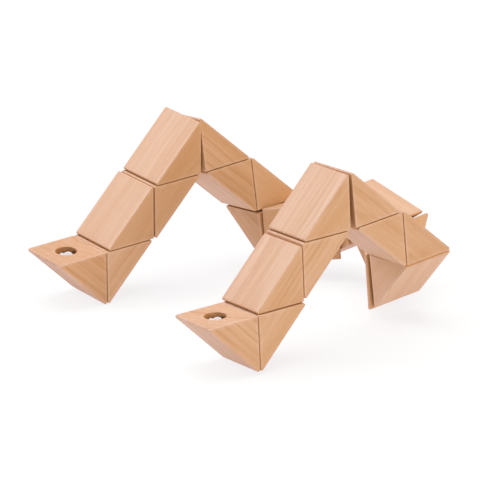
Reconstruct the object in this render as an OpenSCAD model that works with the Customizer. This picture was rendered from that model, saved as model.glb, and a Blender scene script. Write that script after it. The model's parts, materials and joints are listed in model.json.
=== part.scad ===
// Folding snake puzzle: 23 identical right-angled wooden wedges threaded on one elastic cord.
// Each wedge turns on the one before it, about the middle of the square face they share.
// Modelled standing as two arches joined by a folded link, with +Z up and the floor at z = 0.

/* [Wedge] */
// Leg of the triangular wedge, which is also its depth, so that both joint faces are square
leg = 25; // [20:1:40]
// Width of the eased edges all round the wedge
edge = 0.7; // [0.3:0.1:1.5]
// How far back each sharp 45 degree edge is blunted, measured along the wood
tip = 1.4; // [0.8:0.1:3]

/* [Joints] */
// Gap the elastic leaves at every joint, so that the wedges turn without rubbing
seam = 0.3; // [0.2:0.05:0.6]

/* [Bore] */
// Diameter of the slanted bore that the cord runs through
bore_d = 5; // [4.5:0.1:6]
// Diameter of the round recess in the middle of each joint face
recess_d = 9.4; // [8.5:0.1:10.5]
// Depth of that recess
recess_depth = 6; // [4.5:0.1:6.5]

/* [Cord] */
// Diameter of the elastic cord
cord_d = 3; // [2:0.1:3.4]
// Diameter of the cord's strands where they loop in each end knot
knot_strand_d = 2.6; // [2:0.1:2.8]
// Outer diameter of each end knot
knot_d = 7.4; // [6.6:0.1:8]

/* [Colours] */
// Light pine of the wedges
wood = "#dcb088"; // [#dcb088, #e6c49c, #c99a6e]
// Undyed elastic
elastic = "#e9e6df"; // [#e9e6df, #f5f3ee, #c8c4bc]

/* [Hidden] */
$fn = 64;
half = leg / 2;
count = 23;
// Long enough to pass right through a wedge in any direction
through = 3 * leg;

// The standing pose. One entry for each joint, from the first wedge to the last.
// Turn of a wedge on the one before it, in degrees: 0 folds back, 180 goes on as a staircase
turns = [
    0, 180, 180, 180, -9, 180, 180, -90, -94, 154, 94,
    -95, -120, 92, 90, 180, 180, 0, 180, 180, 180, 0
];
// Lean of a wedge about its own y and z, in degrees, where the elastic lets the joint gape
leans = [
    [0, 0], [0, 0], [0, 0], [0, 0], [1.5, 0], [0, 0], [0, 0], [0, 2],
    [0, -0.5], [0, 0], [0, 0], [0, 1], [1, 0], [0, -5], [0, -1], [0, 0],
    [0, 0], [3.5, 2], [0, 0], [0, 0], [0, 0], [0, 0]
];
// Sideways slip of a wedge on the face before it, in mm, along its own y and z
slips = [
    [0, 0], [0, 0], [-0.5, -1], [0, 0], [0, 1], [0, 0], [0, -1], [0, 0],
    [-1, -0.5], [0.5, 0], [0, -0.5], [2, -0.5], [-0.5, 2], [2, 0.5], [0, 0], [0, -1],
    [0, 0.5], [0, 0], [0, 0], [0, 0], [1, -1], [0, 0]
];
// Extra gap where the elastic is stretched over a neighbour's corner, in mm
gaps = [
    0, 0, 0, 0, 0, 0, 0, 0, 0.2, 0.4, 0.4,
    0.5, 0.5, 0.9, 0.1, 0, 0, 0, 0, 0, 0, 0
];
// Middle of the first wedge's free face, in mm, which puts the whole object over the origin
start = [-65.35, 50.62, 23.74];
// Lean of the whole object about x and y, in degrees, which sets its feet level on the floor
level = [2.05, -3.18];

// Homogeneous transforms
function move(v) = [[1, 0, 0, v[0]], [0, 1, 0, v[1]], [0, 0, 1, v[2]], [0, 0, 0, 1]];
function turn_x(a) = [[1, 0, 0, 0], [0, cos(a), -sin(a), 0], [0, sin(a), cos(a), 0], [0, 0, 0, 1]];
function turn_y(a) = [[cos(a), 0, sin(a), 0], [0, 1, 0, 0], [-sin(a), 0, cos(a), 0], [0, 0, 0, 1]];
function turn_z(a) = [[cos(a), -sin(a), 0, 0], [sin(a), cos(a), 0, 0], [0, 0, 1, 0], [0, 0, 0, 1]];

// A leaning wedge stands off by just enough that its face only touches along one edge
function stand_off(a) = half * (abs(sin(a[0])) + abs(sin(a[1])));

// A wedge's own frame: x goes in through the middle of its first square face, and z comes
// out through its second, which is half a leg up and half a leg along.
// This takes wedge i's frame to the frame of the next one.
function link(i) =
    move([half, 0, half]) * turn_y(-90) * turn_x(turns[i])
    * move([seam + gaps[i] + stand_off(leans[i]), slips[i][0], slips[i][1]])
    * turn_y(leans[i][0]) * turn_z(leans[i][1]);

// Frames of all the wedges. The first one hangs nose down from its free face.
first = move(start) * turn_x(level[0]) * turn_y(level[1]) * turn_y(90);
frames = [for (i = 0, f = first; i < count; f = i < count - 1 ? f * link(i) : f, i = i + 1) f];

// Side view of a wedge, with its right angle at the top left
module side_profile() {
    slant = tip / sqrt(2);
    polygon([
        [0, tip - half], [0, half - edge], [edge, half],
        [leg - tip, half], [leg - slant, half - slant], [slant, slant - half]
    ]);
}

// Section across a face of the wedge: full depth, with its two outer edges eased
module eased_section() {
    polygon([
        [-through, -half], [-edge, -half], [0, edge - half],
        [0, half - edge], [-edge, half], [-through, half]
    ]);
}

// The solid wood, before drilling
module blank() {
    intersection() {
        rotate([90, 0, 0]) linear_extrude(height = leg, center = true) side_profile();
        // first square face, looking along z
        rotate([0, 0, 180]) linear_extrude(height = through, center = true) eased_section();
        // second square face, looking along x
        translate([0, 0, half])
            rotate([0, -90, 0]) linear_extrude(height = through, center = true) eased_section();
        // long sloping face
        translate([half, 0, 0]) rotate([0, 45, 0])
            linear_extrude(height = through, center = true) eased_section();
    }
}

// One wedge: a round recess in each joint face, and a slanted bore from recess to recess
module wedge() {
    color(wood) difference() {
        blank();
        translate([-1, 0, 0]) rotate([0, 90, 0]) cylinder(d = recess_d, h = recess_depth + 1);
        translate([0, 0, half - recess_depth]) translate([half, 0, 0])
            cylinder(d = recess_d, h = recess_depth + 1);
        rotate([0, 45, 0]) cylinder(d = bore_d, h = half * sqrt(2));
    }
}

// The stretch of cord inside one wedge, cut square with both joint faces
module cord_run() {
    intersection() {
        rotate([0, 45, 0]) translate([0, 0, -cord_d])
            cylinder(d = cord_d, h = half * sqrt(2) + 2 * cord_d);
        translate([0, -half, -half]) cube([leg, leg, leg]);
    }
}

// The stretch of cord inside an end wedge, stopping under the knot
module cord_to_knot() {
    intersection() {
        rotate([0, 45, 0]) cylinder(d = cord_d, h = half * sqrt(2) + cord_d);
        translate([knot_strand_d, -half, -half]) cube([leg, leg, leg]);
    }
}

// A knot lying in a recess: two crossed turns of the cord around its middle
module knot() {
    ring = knot_d / 2 - knot_strand_d / 2;
    translate([knot_strand_d / 2 + 0.6, 0, 0]) rotate([0, 90, 0]) {
        rotate_extrude() translate([ring, 0]) circle(d = knot_strand_d);
        cylinder(d = ring * 2, h = knot_strand_d * 0.9, center = true);
    }
}

// Turns an end wedge's frame round, so that its second face is where its first was
module other_end() {
    multmatrix([[0, 0, -1, half], [0, -1, 0, 0], [-1, 0, 0, half], [0, 0, 0, 1]]) children();
}

module cord() {
    color(elastic) cord_run();
}

module cord_start() {
    color(elastic) union() { cord_to_knot(); knot(); }
}

module cord_finish() {
    color(elastic) other_end() union() { cord_to_knot(); knot(); }
}

// Puts a piece in wedge number n's place
module at(n) {
    multmatrix(frames[n - 1]) children();
}

at(1) wedge();  // wedge_01
at(2) wedge();  // wedge_02
at(3) wedge();  // wedge_03
at(4) wedge();  // wedge_04
at(5) wedge();  // wedge_05
at(6) wedge();  // wedge_06
at(7) wedge();  // wedge_07
at(8) wedge();  // wedge_08
at(9) wedge();  // wedge_09
at(10) wedge();  // wedge_10
at(11) wedge();  // wedge_11
at(12) wedge();  // wedge_12
at(13) wedge();  // wedge_13
at(14) wedge();  // wedge_14
at(15) wedge();  // wedge_15
at(16) wedge();  // wedge_16
at(17) wedge();  // wedge_17
at(18) wedge();  // wedge_18
at(19) wedge();  // wedge_19
at(20) wedge();  // wedge_20
at(21) wedge();  // wedge_21
at(22) wedge();  // wedge_22
at(23) wedge();  // wedge_23
at(1) cord_start();  // cord_01
at(2) cord();  // cord_02
at(3) cord();  // cord_03
at(4) cord();  // cord_04
at(5) cord();  // cord_05
at(6) cord();  // cord_06
at(7) cord();  // cord_07
at(8) cord();  // cord_08
at(9) cord();  // cord_09
at(10) cord();  // cord_10
at(11) cord();  // cord_11
at(12) cord();  // cord_12
at(13) cord();  // cord_13
at(14) cord();  // cord_14
at(15) cord();  // cord_15
at(16) cord();  // cord_16
at(17) cord();  // cord_17
at(18) cord();  // cord_18
at(19) cord();  // cord_19
at(20) cord();  // cord_20
at(21) cord();  // cord_21
at(22) cord();  // cord_22
at(23) cord_finish();  // cord_23
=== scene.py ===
import json
import math
import random

import bmesh
import bpy
import numpy as np
from mathutils import Matrix, Vector


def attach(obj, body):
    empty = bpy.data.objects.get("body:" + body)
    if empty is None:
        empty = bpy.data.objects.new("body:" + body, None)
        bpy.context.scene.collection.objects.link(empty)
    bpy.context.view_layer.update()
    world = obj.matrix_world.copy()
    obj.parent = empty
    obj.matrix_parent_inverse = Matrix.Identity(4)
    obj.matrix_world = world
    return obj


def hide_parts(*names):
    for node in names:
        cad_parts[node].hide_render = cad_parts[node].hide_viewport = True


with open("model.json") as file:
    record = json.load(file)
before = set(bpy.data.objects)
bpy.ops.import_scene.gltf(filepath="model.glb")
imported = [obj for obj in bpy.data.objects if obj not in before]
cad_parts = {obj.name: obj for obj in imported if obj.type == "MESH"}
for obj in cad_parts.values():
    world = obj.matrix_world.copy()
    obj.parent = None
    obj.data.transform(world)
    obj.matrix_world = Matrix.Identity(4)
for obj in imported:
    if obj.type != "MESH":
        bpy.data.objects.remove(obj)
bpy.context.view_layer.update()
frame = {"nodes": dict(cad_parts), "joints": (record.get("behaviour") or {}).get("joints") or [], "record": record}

MM = 0.001

# sizes of the wedge and the cord in mm
LEG = 25.0
HALF = LEG / 2
RECESS_R = 4.7
RECESS_DEPTH = 6.0
BORE_R = 2.5
TIP = 1.4
EDGE = 0.5  # widest rounding of an edge

SEED = 4100  # the first wedge's random seed; each next wedge adds one
FLOOR_HALF = 6.0  # half the floor's width in m
CORD_R = 1.5

# ---------------------------------------------------------------- camera
AIM = Vector((-1.91, 10.79, 27.9)) * MM
HEADING, ELEVATION, ROLL = 51.552, 19.041, 1.509
DISTANCE, LENS = 1.3856, 241.09


def make_camera():
    az, el, ro = (math.radians(a) for a in (HEADING, ELEVATION, ROLL))
    ahead = Vector((math.cos(az) * math.cos(el), math.sin(az) * math.cos(el), -math.sin(el)))
    right = Vector((math.sin(az), -math.cos(az), 0))
    up = right.cross(ahead)
    r2 = right * math.cos(ro) + up * math.sin(ro)
    u2 = up * math.cos(ro) - right * math.sin(ro)
    data = bpy.data.cameras.new("camera")
    cam = bpy.data.objects.new("camera", data)
    bpy.context.scene.collection.objects.link(cam)
    turn = Matrix((r2, u2, -ahead)).transposed().to_4x4()
    cam.matrix_world = Matrix.Translation(AIM - ahead * DISTANCE) @ turn
    data.lens = LENS
    data.sensor_width = 36
    data.clip_end = 20
    bpy.context.scene.camera = cam
    return right, up, ahead


# ---------------------------------------------------------------- places of the wedges
def planes_of(mesh):
    """The large flat faces of a CAD wedge: [area, normal, offset], largest first, in mm."""
    found = []
    for p in mesh.polygons:
        n = p.normal
        d = n.dot(p.center) / MM
        for f in found:
            if f[1].dot(n) > 0.9999 and abs(f[2] - d) < 0.01:
                f[0] += p.area
                break
        else:
            found.append([p.area, n.copy(), d])
    return sorted(found, key=lambda f: -f[0])


def place_of(obj):
    """Matrix (mm) from the wedge's own frame to the row frame. x goes in through one square face,
    z comes out through the other, and y runs along its depth."""
    fs = planes_of(obj.data)[:5]
    slope = fs[0]
    sides = [f for f in fs[1:] if abs(f[1].dot(slope[1])) < 0.01]
    squares = [f for f in fs[1:] if f[1].dot(slope[1]) < -0.6]
    assert len(sides) == 2 and len(squares) == 2, (obj.name, len(sides), len(squares))
    x = -squares[0][1]
    z = squares[1][1]
    y = z.cross(x)
    one = sides[0] if sides[0][1].dot(y) > 0 else sides[1]
    two = sides[1] if one is sides[0] else sides[0]
    mid = (one[2] - two[2]) / 2
    # the entry face is x = 0, the two sides are equally far from y = 0, and the exit face is z = HALF
    centre = -x * squares[0][2] + y * mid + z * (squares[1][2] - HALF)
    m = Matrix((x, y, z)).transposed().to_4x4()
    m.translation = centre
    return m


# ---------------------------------------------------------------- wedge meshes
def evaluated(obj):
    bpy.context.view_layer.update()
    dg = bpy.context.evaluated_depsgraph_get()
    return bpy.data.meshes.new_from_object(obj.evaluated_get(dg))


def scratch(mesh, name):
    o = bpy.data.objects.new(name, mesh)
    bpy.context.scene.collection.objects.link(o)
    return o


def lathe(profile, segments=56):
    """Closed solid from (radius, height) points, turned about z."""
    bm = bmesh.new()
    rings = []
    for r, z in profile:
        rings.append([bm.verts.new((r * math.cos(2 * math.pi * k / segments),
                                    r * math.sin(2 * math.pi * k / segments), z))
                      for k in range(segments)])
    for a, b in zip(rings, rings[1:]):
        for k in range(segments):
            j = (k + 1) % segments
            bm.faces.new((a[k], a[j], b[j], b[k]))
    bm.faces.new(list(reversed(rings[0])))
    bm.faces.new(rings[-1])
    bmesh.ops.recalc_face_normals(bm, faces=bm.faces)
    me = bpy.data.meshes.new("lathe")
    bm.to_mesh(me)
    bm.free()
    return me


def recess_cutter(rim):
    """Round recess with a flat bottom and a mouth that sanding has just rounded over."""
    pts = [(RECESS_R - 0.25, -RECESS_DEPTH), (RECESS_R, -RECESS_DEPTH + 0.25), (RECESS_R, -rim)]
    for k in range(1, 5):
        a = math.pi / 2 * k / 4
        pts.append((RECESS_R + rim * (1 - math.cos(a)), -rim + rim * math.sin(a)))
    pts.append((RECESS_R + rim, 1.5))
    return lathe(pts)


def wedge_mesh(rnd, name):
    h = HALF
    dy = [rnd.uniform(0, 0.08) for _ in range(2)]
    bm = bmesh.new()
    back = TIP / math.sqrt(2)
    prof = [(0, TIP - h), (0, h), (LEG - TIP, h), (LEG - back, h - back), (back, back - h)]
    near = [bm.verts.new((x, -h + dy[0], z)) for x, z in prof]
    far = [bm.verts.new((x, h - dy[1], z)) for x, z in prof]
    bm.faces.new(near)
    bm.faces.new(list(reversed(far)))
    for k in range(5):
        j = (k + 1) % 5
        bm.faces.new((near[j], near[k], far[k], far[j]))
    bmesh.ops.recalc_face_normals(bm, faces=bm.faces)
    me = bpy.data.meshes.new(name)
    layer = bm.edges.layers.float.new("bevel_weight_edge")
    for e in bm.edges:
        a, b = e.verts
        along_y = abs(a.co.y - b.co.y) > 1
        right_angle = along_y and a.co.x < 0.1 and a.co.z > 0
        dx, dz = a.co.x - b.co.x, a.co.z - b.co.z
        sloping = not along_y and abs(dx - dz) < 0.1 and abs(dx) > 5
        short = not along_y and (a.co - b.co).length < 3
        if along_y and not right_angle:
            e[layer] = rnd.uniform(0.85, 1.0)
        elif sloping:
            e[layer] = rnd.uniform(0.75, 1.0)
        elif short:
            e[layer] = 0.75
        else:
            e[layer] = rnd.uniform(0.55, 0.8)
    bm.to_mesh(me)
    bm.free()
    body = scratch(me, "scratch_body")
    bev = body.modifiers.new("bevel", "BEVEL")
    bev.width = EDGE
    bev.segments = 4
    bev.limit_method = "WEIGHT"
    bev.profile = 0.5
    bev.miter_outer = "MITER_ARC"
    rounded = evaluated(body)
    bpy.data.objects.remove(body)

    body = scratch(rounded, "scratch_round")
    cutters = []
    one = recess_cutter(rnd.uniform(0.18, 0.3))
    one.transform(Matrix.Rotation(math.radians(-90), 4, "Y"))
    two = recess_cutter(rnd.uniform(0.18, 0.3))
    two.transform(Matrix.Translation((h, 0, h)))
    bore = lathe([(BORE_R, -1.0), (BORE_R, h * math.sqrt(2) + 1.0)], 40)
    bore.transform(Matrix.Rotation(math.radians(45), 4, "Y"))
    for k, cut in enumerate((one, two, bore)):
        c = scratch(cut, "scratch_cut%d" % k)
        mod = body.modifiers.new("cut%d" % k, "BOOLEAN")
        mod.operation = "DIFFERENCE"
        mod.solver = "EXACT"
        mod.object = c
        cutters.append(c)
    done = evaluated(body)
    done.name = name
    for o in cutters + [body]:
        bpy.data.objects.remove(o)
    return done


def split_large_faces(mesh, cell=3.0):
    """Cuts the mesh into small cells, so that a smooth change in shape or shading can follow."""
    bm = bmesh.new()
    bm.from_mesh(mesh)
    for axis, lo, hi in ((0, 0, LEG), (1, -HALF, HALF), (2, -HALF, HALF)):
        n = int((hi - lo) / cell)
        for k in range(1, n):
            v = lo + (hi - lo) * k / n
            co = [0, 0, 0]
            no = [0, 0, 0]
            co[axis] = v
            no[axis] = 1
            bmesh.ops.bisect_plane(bm, geom=bm.verts[:] + bm.edges[:] + bm.faces[:], dist=1e-5,
                                   plane_co=co, plane_no=no)
    bm.to_mesh(mesh)
    bm.free()


# ---------------------------------------------------------------- node helpers
class Nodes:
    def __init__(self, name):
        self.mat = bpy.data.materials.new(name)
        self.mat.use_nodes = True
        self.tree = self.mat.node_tree
        self.bsdf = self.tree.nodes["Principled BSDF"]

    def add(self, kind, **settings):
        n = self.tree.nodes.new("ShaderNode" + kind)
        for k, v in settings.items():
            setattr(n, k, v)
        return n

    def wire(self, a, b):
        self.tree.links.new(a, b)

    def put(self, socket, value):
        if isinstance(value, bpy.types.NodeSocket):
            self.wire(value, socket)
        else:
            socket.default_value = value

    def math(self, op, a, b=None):
        n = self.add("Math", operation=op)
        self.put(n.inputs[0], a)
        if b is not None:
            self.put(n.inputs[1], b)
        return n.outputs[0]

    def vec(self, op, a, b=None, scale=None):
        n = self.add("VectorMath", operation=op)
        self.put(n.inputs[0], a)
        if b is not None:
            self.put(n.inputs[1], b)
        if scale is not None:
            self.put(n.inputs["Scale"], scale)
        return n.outputs["Vector"]

    def attr(self, name, out="Vector"):
        return self.add("Attribute", attribute_name=name).outputs[out]

    def split(self, v):
        n = self.add("SeparateXYZ")
        self.wire(v, n.inputs[0])
        return n.outputs

    def join(self, x, y, z):
        n = self.add("CombineXYZ")
        for s, v in zip(n.inputs, (x, y, z)):
            self.put(s, v)
        return n.outputs[0]

    def noise(self, v, scale, detail=2.0, rough=0.5, out=0):
        n = self.add("TexNoise")
        self.wire(v, n.inputs["Vector"])
        n.inputs["Scale"].default_value = scale
        n.inputs["Detail"].default_value = detail
        n.inputs["Roughness"].default_value = rough
        return n.outputs[out]

    def ramp(self, v, stops):
        n = self.add("ValToRGB")
        r = n.color_ramp
        r.interpolation = "LINEAR"
        while len(r.elements) < len(stops):
            r.elements.new(0.5)
        for e, (p, c) in zip(r.elements, stops):
            e.position = p
            e.color = (c, c, c, 1)
        self.wire(v, n.inputs[0])
        return n.outputs[0]

    def mix(self, f, a, b, mode="MIX"):
        n = self.add("Mix", data_type="RGBA", blend_type=mode)
        self.put(n.inputs[0], f)
        self.put(n.inputs[6], a)
        self.put(n.inputs[7], b)
        return n.outputs[2]

    def span(self, v, lo, hi, a=0.0, b=1.0):
        n = self.add("MapRange")
        n.clamp = True
        self.put(n.inputs[0], v)
        for s, k in zip(n.inputs[1:5], (lo, hi, a, b)):
            s.default_value = k
        return n.outputs[0]


def lin(r, g, b):
    """A colour given as sRGB 0 to 255, made linear."""
    return tuple(((c / 255 + 0.055) / 1.055) ** 2.4 if c > 10 else c / 3294.6 for c in (r, g, b)) + (1,)


def wood_material():
    """Sanded bare pine. The attribute log is the place inside the log in mm, x along the fibres
    and y, z across them from the pith. own is the place in the wedge, tone a value of each wedge."""
    m = Nodes("pine")
    log = m.attr("log")
    x, y, z = m.split(log)[0:3]
    tone = m.attr("tone", "Fac")

    # fibres wander a little, so the rings do too
    slow = m.join(m.math("MULTIPLY", x, 0.020), m.math("MULTIPLY", y, 0.055), m.math("MULTIPLY", z, 0.055))
    drift = m.noise(slow, 1.0, 2.0, 0.5, out=1)
    drift = m.vec("SCALE", m.vec("SUBTRACT", drift, (0.5, 0.5, 0.5)), scale=5.0)
    _, dy, dz = m.split(drift)[0:3]
    ry = m.math("ADD", y, dy)
    rz = m.math("ADD", z, dz)
    radius = m.math("SQRT", m.math("ADD", m.math("MULTIPLY", ry, ry), m.math("MULTIPLY", rz, rz)))

    # growth rings: pale early wood darkening slowly to a late wood line, then a quick step back
    wide = m.noise(m.join(m.math("MULTIPLY", radius, 0.11), 3.0, 7.0), 1.0, 3.0, 0.6)
    ring_pos = m.math("ADD", m.math("MULTIPLY", radius, 0.36), m.math("MULTIPLY", wide, 2.6))
    saw = m.math("FRACT", ring_pos)
    late = m.ramp(saw, [(0.0, 0.0), (0.45, 0.10), (0.80, 0.62), (0.91, 1.0), (1.0, 0.0)])
    # some years are hardly marked
    year = m.noise(m.join(m.math("FLOOR", ring_pos), 1.3, 8.1), 3.7, 0.0)
    year = m.span(year, 0.28, 0.74, 0.10, 1.0)
    late = m.math("MULTIPLY", late, year)

    # broad light and dark bands along the board
    band_at = m.join(m.math("MULTIPLY", x, 0.006), m.math("MULTIPLY", radius, 0.14), 2.0)
    band = m.noise(band_at, 1.0, 2.0, 0.55)
    band = m.span(band, 0.30, 0.70)

    # fibres and pores
    fibre_at = m.join(m.math("MULTIPLY", x, 0.045), m.math("MULTIPLY", y, 1.0), m.math("MULTIPLY", z, 1.0))
    fibre = m.noise(fibre_at, 2.3, 4.0, 0.62)
    streak_at = m.join(m.math("MULTIPLY", x, 0.022), m.math("MULTIPLY", y, 1.0), m.math("MULTIPLY", z, 1.0))
    streak = m.noise(streak_at, 0.62, 3.0, 0.6)
    fleck_at = m.join(m.math("MULTIPLY", x, 0.42), m.math("MULTIPLY", y, 2.4), m.math("MULTIPLY", z, 2.4))
    fleck = m.noise(fleck_at, 1.15, 2.0, 0.5)
    fleck = m.span(fleck, 0.60, 0.74)

    # on faces that cut across the fibres the wood drinks more light
    across = m.attr("across", "Fac")

    figure = m.attr("figure", "Fac")
    pale = m.mix(band, lin(221, 187, 153), lin(213, 174, 137))
    colour = m.mix(m.math("MULTIPLY", late, m.math("MULTIPLY", figure, 0.75)), pale, lin(188, 138, 97))
    colour = m.mix(m.math("MULTIPLY", m.span(streak, 0.42, 0.74), m.math("MULTIPLY", figure, 0.36)),
                   colour, lin(195, 148, 108))
    colour = m.mix(m.math("MULTIPLY", m.span(streak, 0.28, 0.46, 1.0, 0.0), 0.30), colour, lin(228, 197, 168))
    colour = m.mix(m.math("MULTIPLY", m.span(fibre, 0.50, 0.80), 0.20), colour, lin(186, 139, 101))
    colour = m.mix(m.math("MULTIPLY", fleck, 0.20), colour, lin(160, 110, 74))
    colour = m.mix(m.math("MULTIPLY", across, 0.20), colour, lin(192, 142, 103))
    warm = m.mix(tone, lin(255, 251, 247), lin(245, 235, 223))
    colour = m.mix(1.0, colour, warm, "MULTIPLY")

    # edges: burnished pale by sanding, and also a painted highlight where the rounded edges catch the light, with
    # a little handling in patches
    ox, oy, oz = m.split(m.attr("own"))[0:3]
    d1 = ox
    d2 = m.math("SUBTRACT", HALF, oz)
    d3 = m.math("MULTIPLY", m.math("ADD", m.math("SUBTRACT", oz, ox), HALF), 0.70711)
    d4 = m.math("SUBTRACT", HALF, m.math("ABSOLUTE", oy))
    ds = (d1, d2, d3, d4)
    near = None
    for i in range(4):
        for j in range(i + 1, 4):
            k = m.math("MAXIMUM", ds[i], ds[j])
            near = k if near is None else m.math("MINIMUM", near, k)
    patch = m.noise(m.attr("own"), 0.35, 3.0, 0.6)
    edge = m.math("MULTIPLY", m.span(near, 0.25, 1.5, 1.0, 0.0), m.span(patch, 0.30, 0.65, 0.35, 1.0))
    colour = m.mix(m.math("MULTIPLY", edge, 0.35), colour, lin(228, 197, 168))
    # inside the drilled recess the colour is darkened as painted shade, and the wood is fuzzy (rougher)
    deep = m.span(m.math("MINIMUM", m.math("MINIMUM", d1, d2), m.math("MINIMUM", d3, d4)), 0.25, 1.6)
    colour = m.mix(m.math("MULTIPLY", deep, 0.30), colour, lin(170, 112, 74))
    m.wire(colour, m.bsdf.inputs["Base Color"])

    rough = m.math("ADD", m.span(fibre, 0.3, 0.8, 0.50, 0.66), m.math("MULTIPLY", late, -0.06))
    rough = m.math("ADD", rough, m.math("MULTIPLY", deep, 0.2))
    rough = m.math("SUBTRACT", rough, m.math("MULTIPLY", edge, 0.08))
    m.wire(rough, m.bsdf.inputs["Roughness"])
    m.bsdf.inputs["Specular IOR Level"].default_value = 0.32

    height = m.math("ADD", m.math("MULTIPLY", fibre, 0.55), m.math("MULTIPLY", late, 0.25))
    height = m.math("SUBTRACT", height, m.math("MULTIPLY", fleck, 0.35))
    bump = m.add("Bump")
    bump.inputs["Strength"].default_value = 0.30
    bump.inputs["Distance"].default_value = 0.00012
    m.wire(height, bump.inputs["Height"])
    m.wire(bump.outputs[0], m.bsdf.inputs["Normal"])
    return m.mat


def elastic_material():
    """White braided elastic. The attribute braid holds (along, round) in turns of the plait."""
    m = Nodes("braided_elastic")
    at = m.attr("braid")
    s, t = m.split(at)[0:2]
    a = m.math("FRACT", m.math("ADD", s, t))
    b = m.math("FRACT", m.math("SUBTRACT", s, t))
    wa = m.math("SINE", m.math("MULTIPLY", a, math.pi))
    wb = m.math("SINE", m.math("MULTIPLY", b, math.pi))
    pick = m.math("GREATER_THAN", m.math("SINE", m.math("MULTIPLY", s, 2 * math.pi)), 0.0)
    over = m.math("ADD", m.math("MULTIPLY", wa, pick), m.math("MULTIPLY", wb, m.math("SUBTRACT", 1.0, pick)))
    fuzz = m.noise(at, 9.0, 3.0, 0.6)
    # painted shade: the grooves between the strands are coloured darker grey and the raised strands lighter
    colour = m.mix(m.math("POWER", over, 0.6), lin(160, 154, 147), lin(226, 221, 213))
    colour = m.mix(m.math("MULTIPLY", m.span(fuzz, 0.4, 0.8), 0.25), colour, lin(206, 200, 194))
    m.wire(colour, m.bsdf.inputs["Base Color"])
    m.wire(m.span(fuzz, 0.3, 0.8, 0.72, 0.9), m.bsdf.inputs["Roughness"])
    m.bsdf.inputs["Sheen Weight"].default_value = 0.25
    m.bsdf.inputs["Sheen Roughness"].default_value = 0.5
    height = m.math("ADD", over, m.math("MULTIPLY", fuzz, 0.3))
    bump = m.add("Bump")
    bump.inputs["Strength"].default_value = 0.6
    bump.inputs["Distance"].default_value = 0.00015
    m.wire(height, bump.inputs["Height"])
    m.wire(bump.outputs[0], m.bsdf.inputs["Normal"])
    return m.mat


# ---------------------------------------------------------------- cord meshes
def tube(bm, path, radius, around=20, caps=True, strands=6):
    """Adds a braided tube along path (mm) to bm, with the plait modelled in its surface."""
    pts = [Vector(p) for p in path]
    braid = bm.verts.layers.float_vector.get("braid") or bm.verts.layers.float_vector.new("braid")
    tangent = [(pts[min(k + 1, len(pts) - 1)] - pts[max(k - 1, 0)]).normalized() for k in range(len(pts))]
    side = tangent[0].orthogonal().normalized()
    rings = []
    run = 0.0
    for k, p in enumerate(pts):
        if k:
            run += (p - pts[k - 1]).length
            side = (side - tangent[k] * side.dot(tangent[k])).normalized()
        up = tangent[k].cross(side)
        ring = []
        for j in range(around):
            a = 2 * math.pi * j / around
            s = run / (radius * 2.0)
            t = strands * j / around
            wave = abs(math.sin(math.pi * (s + t))) * 0.5 + abs(math.sin(math.pi * (s - t))) * 0.5
            r = radius * (0.93 + 0.07 * wave)
            v = bm.verts.new(p + (side * math.cos(a) + up * math.sin(a)) * r)
            v[braid] = Vector((s, t, 0))
            ring.append(v)
        rings.append(ring)
    for a, b in zip(rings, rings[1:]):
        for j in range(around):
            k = (j + 1) % around
            bm.faces.new((a[j], a[k], b[k], b[j]))
    if caps:
        for ring, flip in ((rings[0], True), (rings[-1], False)):
            end = pts[0] if flip else pts[-1]
            c = bm.verts.new(end)
            c[braid] = Vector((0, 0, 0))
            for j in range(around):
                k = (j + 1) % around
                bm.faces.new((ring[k], ring[j], c) if flip else (ring[j], ring[k], c))


def smooth_path(points, steps):
    """Catmull-Rom curve through the points."""
    p = [Vector(q) for q in points]
    p = [p[0] * 2 - p[1]] + p + [p[-1] * 2 - p[-2]]
    out = []
    for i in range(1, len(p) - 2):
        for k in range(steps):
            t = k / steps
            a, b, c, d = p[i - 1], p[i], p[i + 1], p[i + 2]
            out.append(0.5 * ((2 * b) + (c - a) * t + (2 * a - 5 * b + 4 * c - d) * t * t
                              + (3 * b - a - 3 * c + d) * t ** 3))
    out.append(p[-2])
    return out


def cord_mesh(name, knot_at=None):
    """The stretch of cord in a wedge, in the wedge's own frame. knot_at is None, 0 for a knot in
    the first recess or 1 for the second."""
    bm = bmesh.new()
    s = HALF
    lo, hi = (1.1, s - 1.1)
    if knot_at is None:
        n = 36
        path = [Vector((lo + (hi - lo) * k / n, 0, lo + (hi - lo) * k / n)) for k in range(n + 1)]
        tube(bm, path, CORD_R, 24)
    else:
        # cord up to the knot, an overhand knot flattened into the recess, and a short cut tail
        n = 26
        path = [Vector((3.6 + (hi - 3.6) * k / n, 0, 3.6 + (hi - 3.6) * k / n)) for k in range(n + 1)]
        tube(bm, path, CORD_R, 24)
        R, r = 2.15, 1.22
        centre = 3.15 if knot_at == 0 else 2.1
        loop = []
        m = 120
        for k in range(m + 1):
            t = 2 * math.pi * k / m
            rad = R * (0.72 + 0.33 * math.cos(3 * t))
            depth = centre + 0.92 * math.sin(3 * t)
            loop.append(Vector((depth, rad * math.cos(2 * t), rad * math.sin(2 * t))))
        tube(bm, loop, r, 22, caps=False)
        # the tail's points are given for a knot whose middle is 2.1 mm deep
        deeper = centre - 2.1
        tail = smooth_path([(2.9 + deeper, -0.6, 0.8), (2.1 + deeper, -1.3, 1.6), (1.5 + deeper, -1.9, 1.7),
                            (1.3 + deeper, -2.3, 1.0), (1.2 + deeper, -2.2, -0.2)], 10)
        tube(bm, tail, 1.05, 20)
    me = bpy.data.meshes.new(name)
    bm.normal_update()
    bm.to_mesh(me)
    bm.free()
    if knot_at == 1:
        swap = Matrix(((0, 0, -1, s), (0, -1, 0, 0), (-1, 0, 0, s), (0, 0, 0, 1)))
        me.transform(swap)
    return me


# ---------------------------------------------------------------- build
right, up, ahead = make_camera()
wood = wood_material()
elastic = elastic_material()
wedges = sorted(n for n in frame["nodes"] if n.startswith("wedge_"))
count = len(wedges)
places = {n: place_of(frame["nodes"][n]) for n in wedges}
scale_down = Matrix.Diagonal((MM, MM, MM, 1))


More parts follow.
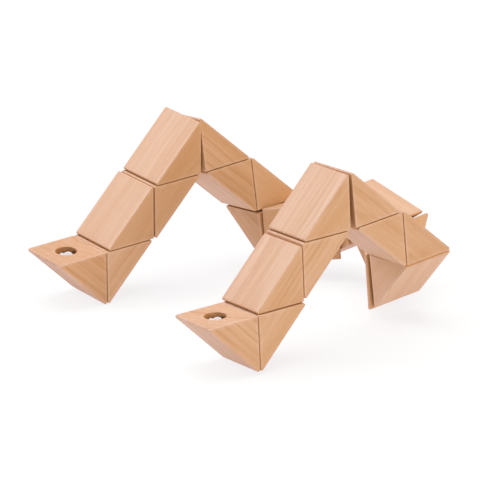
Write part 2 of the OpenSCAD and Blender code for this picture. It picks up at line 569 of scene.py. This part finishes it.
def body_of_node(node):
    for b, nodes in frame["record"]["behaviour"]["bodies"].items():
        if node in nodes:
            return b
    raise KeyError(node)


for index, name in enumerate(wedges):
    rnd = random.Random(SEED + index)
    me = wedge_mesh(rnd, "wood_" + name[-2:])
    split_large_faces(me)
    n = len(me.vertices)
    co = np.empty(n * 3)
    me.vertices.foreach_get("co", co)
    co = co.reshape(-1, 3)
    # where this wedge was cut from the board: fibres run along its sloping face
    tilt = math.radians(rnd.uniform(-2.5, 2.5))
    fibre = Vector((math.cos(math.radians(45) + tilt), 0, math.sin(math.radians(45) + tilt)))
    fibre = (fibre + Vector((0, rnd.uniform(-0.03, 0.03), 0))).normalized()
    across_1 = Vector((0, 1, 0)).cross(fibre).normalized()
    across_2 = fibre.cross(across_1).normalized()
    spin = rnd.uniform(0, 2 * math.pi)
    a1 = across_1 * math.cos(spin) + across_2 * math.sin(spin)
    a2 = across_2 * math.cos(spin) - across_1 * math.sin(spin)
    pith = rnd.uniform(28, 95)
    basis = np.array([fibre, a1, a2])
    log = co @ basis.T + np.array([rnd.uniform(-900, 900), pith, rnd.uniform(-6, 6)])
    layer = me.attributes.new("log", "FLOAT_VECTOR", "POINT")
    layer.data.foreach_set("vector", log.astype(np.float32).ravel())
    layer = me.attributes.new("own", "FLOAT_VECTOR", "POINT")
    layer.data.foreach_set("vector", co.astype(np.float32).ravel())
    layer = me.attributes.new("tone", "FLOAT", "POINT")
    layer.data.foreach_set("value", np.full(n, rnd.random(), np.float32))
    layer = me.attributes.new("figure", "FLOAT", "POINT")
    layer.data.foreach_set("value", np.full(n, rnd.uniform(0.1, 1.0) ** 1.3, np.float32))
    across = me.attributes.new("across", "FLOAT", "POINT")
    normals = np.empty(n * 3)
    me.vertex_normals.foreach_get("vector", normals)
    cut = np.abs(normals.reshape(-1, 3) @ np.array(fibre))
    across.data.foreach_set("value", np.clip(cut / 0.707, 0, 1).astype(np.float32))

    me.transform(scale_down @ places[name])
    me.materials.append(wood)
    me.shade_smooth()
    me.set_sharp_from_angle(angle=math.radians(38))
    obj = bpy.data.objects.new("wood_" + name[-2:], me)
    bpy.context.scene.collection.objects.link(obj)
    mod = obj.modifiers.new("normals", "WEIGHTED_NORMAL")
    mod.mode = "FACE_AREA"
    mod.weight = 80
    mod.keep_sharp = True
    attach(obj, body_of_node(name))
    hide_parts(name)

for index in range(count):
    node = "cord_%02d" % (index + 1)
    place = places["wedge_%02d" % (index + 1)]
    knot_at = None
    if index in (0, count - 1):
        # the knot is in the square face that the neighbouring wedge isn't on
        joint = frame["joints"][0] if index == 0 else frame["joints"][-1]
        hinge = Vector(joint["pos_m"]) / MM
        first = place @ Vector((0, 0, 0))
        knot_at = 0 if (first - hinge).length > 4 else 1
    me = cord_mesh("elastic_%02d" % (index + 1), knot_at)
    me.transform(scale_down @ place)
    me.materials.append(elastic)
    me.shade_smooth()
    obj = bpy.data.objects.new("elastic_%02d" % (index + 1), me)
    bpy.context.scene.collection.objects.link(obj)
    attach(obj, body_of_node(node))
    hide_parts(node)

# ---------------------------------------------------------------- floor and light
floor_mesh = bpy.data.meshes.new("floor")
corners = [(x * FLOOR_HALF, y * FLOOR_HALF, 0) for x, y in ((-1, -1), (1, -1), (1, 1), (-1, 1))]
floor_mesh.from_pydata(corners, [], [(0, 1, 2, 3)])
floor = bpy.data.objects.new("floor", floor_mesh)
bpy.context.scene.collection.objects.link(floor)
floor_mat = Nodes("floor_paper")
floor_mat.bsdf.inputs["Base Color"].default_value = (0.25, 0.25, 0.25, 1)
floor_mat.bsdf.inputs["Emission Color"].default_value = (1.0, 1.0, 1.0, 1)
floor_mat.bsdf.inputs["Emission Strength"].default_value = 0.74
floor_mat.bsdf.inputs["Roughness"].default_value = 0.9
floor_mat.bsdf.inputs["Specular IOR Level"].default_value = 0.0
floor_mesh.materials.append(floor_mat.mat)


def area_light(name, at, size, power, colour=(1, 1, 1)):
    data = bpy.data.lights.new(name, "AREA")
    data.shape = "DISK"
    data.size = size
    data.energy = power
    data.color = colour
    o = bpy.data.objects.new(name, data)
    bpy.context.scene.collection.objects.link(o)
    o.location = at
    o.rotation_euler = (AIM - Vector(at)).to_track_quat("-Z", "Y").to_euler()
    return o


flat_ahead = Vector((ahead.x, ahead.y, 0)).normalized()
area_light("top", flat_ahead * 0.1 - right * 0.1 + Vector((0, 0, 1.9)), 2.2, 37, (0.97, 1.0, 1.04))
area_light("key", -right * 1.3 + flat_ahead * 0.1 + Vector((0, 0, 0.95)), 1.0, 11, (0.93, 0.99, 1.10))
area_light("warm", right * 1.1 - flat_ahead * 1.1 + Vector((0, 0, 0.6)), 1.2, 11, (1.0, 0.80, 0.50))

world = bpy.data.worlds.new("studio")
bpy.context.scene.world = world
world.use_nodes = True
world.node_tree.nodes["Background"].inputs[0].default_value = (1.0, 1.0, 1.0, 1)
world.node_tree.nodes["Background"].inputs[1].default_value = 0.2

view = bpy.context.scene.view_settings
view.view_transform = "Standard"
view.look = "None"
view.exposure = 0.0
view.gamma = 1.0
view.use_curve_mapping = True
# a camera's usual tone curve, with highlights that lose colour as they near white
for channel, points in ((3, ((0.15, 0.135), (0.30, 0.29), (0.50, 0.52), (0.75, 0.78))),
                        (2, ((0.12, 0.116), (0.30, 0.355), (0.60, 0.66), (0.90, 0.91)))):
    for x, y in points:
        view.curve_mapping.curves[channel].points.new(x, y)
view.curve_mapping.update()
